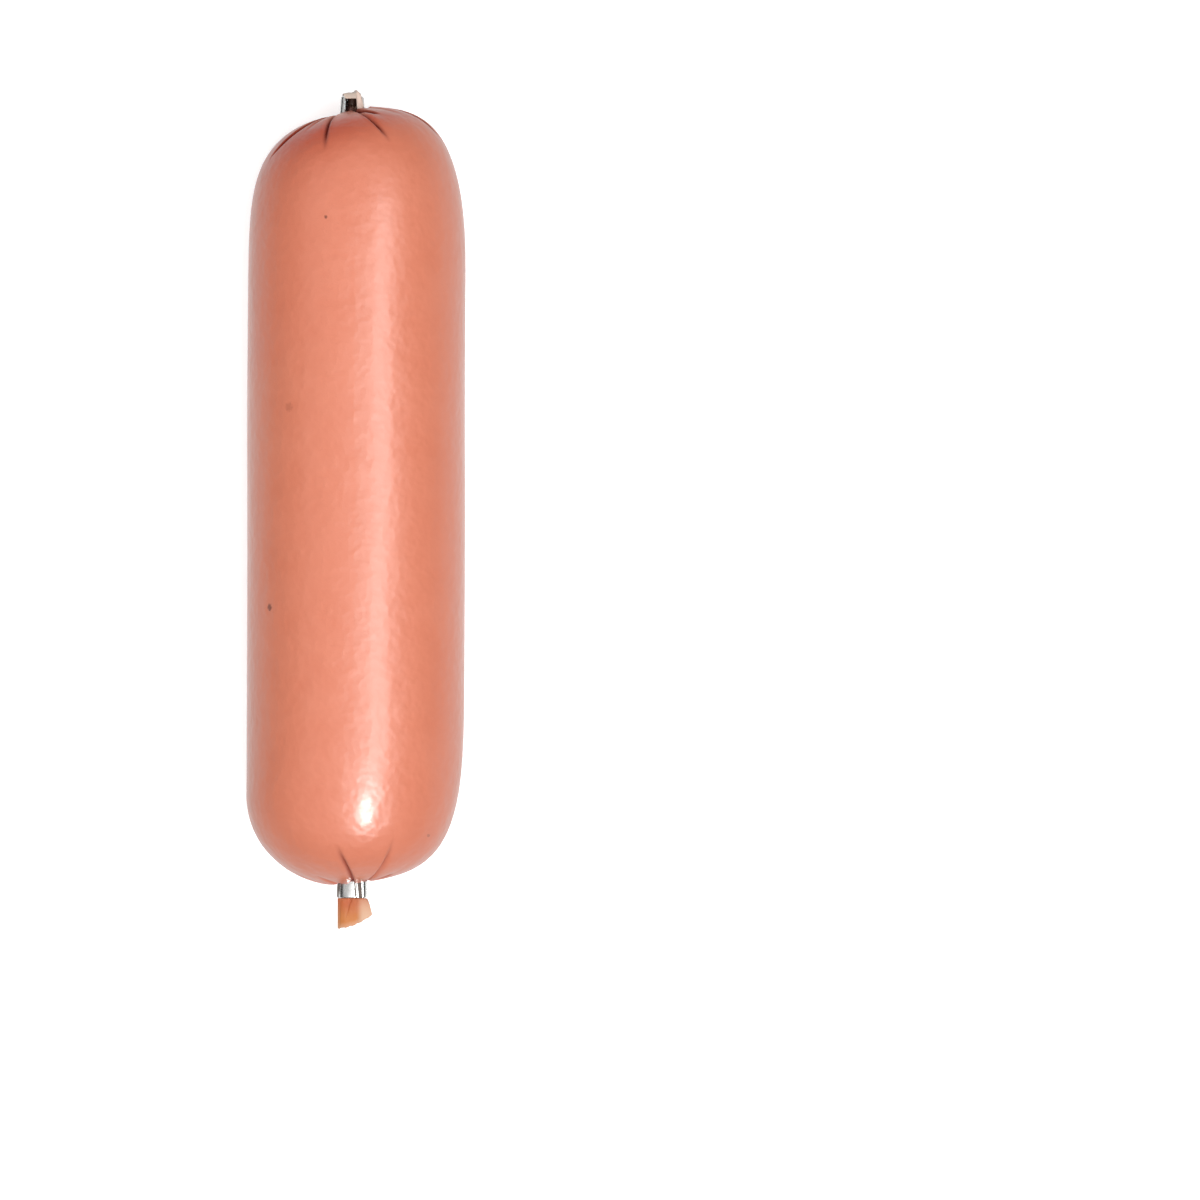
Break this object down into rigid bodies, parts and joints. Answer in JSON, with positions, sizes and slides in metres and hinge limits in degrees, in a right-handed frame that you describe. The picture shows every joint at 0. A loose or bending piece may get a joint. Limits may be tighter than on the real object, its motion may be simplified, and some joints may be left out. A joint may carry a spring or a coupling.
{
  "type": "whole mortadella sausage",
  "caption": "Uncut cooked sausage of the mortadella kind in a tight glossy film casing, gathered at both ends, each closed by a bent metal clip with a short casing tail.",
  "frame": {"origin": "middle of the length and width, on the surface that the sausage lies on", "axes": "+Y along the sausage, towards the end with the short frilled tail; +Z up, out of the shown side; +X to the right when the shown side is looked down on with +Y up"},
  "size_m": [0.0603, 0.2309, 0.0593],
  "materials": {
    "casing_film": "tight glossy casing film over fine pink meat",
    "clip_metal": "bright drawn wire, pressed and scuffed by the closing die",
    "gathered_film": "folded empty casing, amber where it is thick and pale where it is thin",
    "frill_film": "thin dry casing, pale beige"
  },
  "bodies": {
    "root": {"filled_casing": "casing_film", "clip_far": "clip_metal", "clip_near": "clip_metal", "tail_far": "frill_film", "tail_near": "gathered_film"}
  },
  "joints": []
}
